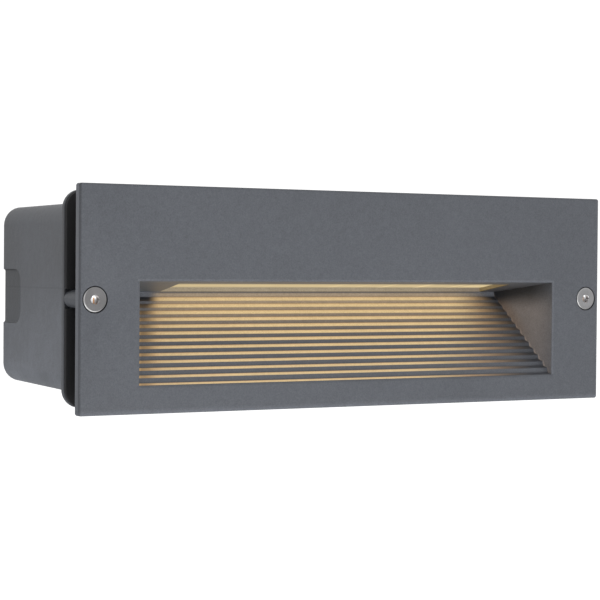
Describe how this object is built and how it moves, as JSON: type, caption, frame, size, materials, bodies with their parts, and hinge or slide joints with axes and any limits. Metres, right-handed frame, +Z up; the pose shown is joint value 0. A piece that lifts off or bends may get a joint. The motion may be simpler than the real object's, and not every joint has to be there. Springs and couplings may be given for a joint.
{
  "type": "recessed brick light",
  "caption": "Wall-recessed brick light: cast face with a stepped light scoop and hidden downward light source, sliding into a shallow cast box and held by face screws.",
  "frame": {"origin": "middle of the face in X and Z, in the plane where the rear of the box's flange rests on the brickwork", "axes": "+X to the right along the face, +Y into the wall, +Z up; the face looks towards -Y"},
  "size_m": [0.242, 0.0908, 0.085],
  "materials": {
    "coated_cast": "fine matt powder coat on cast aluminium",
    "black_foam": "matt closed-cell foam",
    "black_rubber": "matt",
    "ivory_plastic": "moulded polyamide",
    "brass": "turned",
    "zinc_steel": "zinc plated",
    "opal_glass": "opal, lit warm white from above",
    "clear_silicone": "translucent bead",
    "white_plastic": "reflective white",
    "white_board": "white solder resist",
    "phosphor": "yellow phosphor",
    "bare_aluminium": "satin",
    "driver_plastic": "potted case",
    "red_lead": "insulated flat lead",
    "black_plastic": "moulded polyamide",
    "stainless_steel": "stainless, turned head"
  },
  "bodies": {
    "recess_box": {"recess_box": "coated_cast", "flange_gasket": "black_foam", "cable_grommet": "black_rubber", "terminal_block": "ivory_plastic", "terminal_clamps": "brass", "terminal_screws": "zinc_steel", "terminal_fixings": "zinc_steel", "earth_tag": "brass", "earth_screw": "zinc_steel"},
    "luminaire": {"face_casting": "coated_cast", "window_glass": "opal_glass", "window_bead": "clear_silicone", "reflector": "white_plastic", "led_board": "white_board", "led_chips": "phosphor", "board_screws": "zinc_steel", "gear_tray": "bare_aluminium", "tray_screws": "zinc_steel", "led_driver": "driver_plastic", "driver_screws": "zinc_steel", "led_lead": "red_lead", "cover_seal": "black_rubber", "rear_cover": "bare_aluminium", "cover_screws": "zinc_steel", "vent_plug": "black_plastic", "gland_body": "black_plastic", "gland_nut": "black_plastic", "gland_seal": "black_rubber", "gland_cap": "black_plastic"},
    "face_screw_left": {"face_screw_left": "stainless_steel"},
    "face_screw_right": {"face_screw_right": "stainless_steel"}
  },
  "joints": [
    {"name": "luminaire_slide", "type": "slide", "parent": "recess_box", "child": "luminaire", "axis": [0, -1, 0], "range_m": [0, 0.09]},
    {"name": "left_screw_turn", "type": "hinge", "parent": "luminaire", "child": "face_screw_left", "pos_m": [-0.1146, -0.0197, 0], "axis": [0, 1, 0], "continuous": true},
    {"name": "right_screw_turn", "type": "hinge", "parent": "luminaire", "child": "face_screw_right", "pos_m": [0.1146, -0.0197, 0], "axis": [0, 1, 0], "continuous": true}
  ]
}
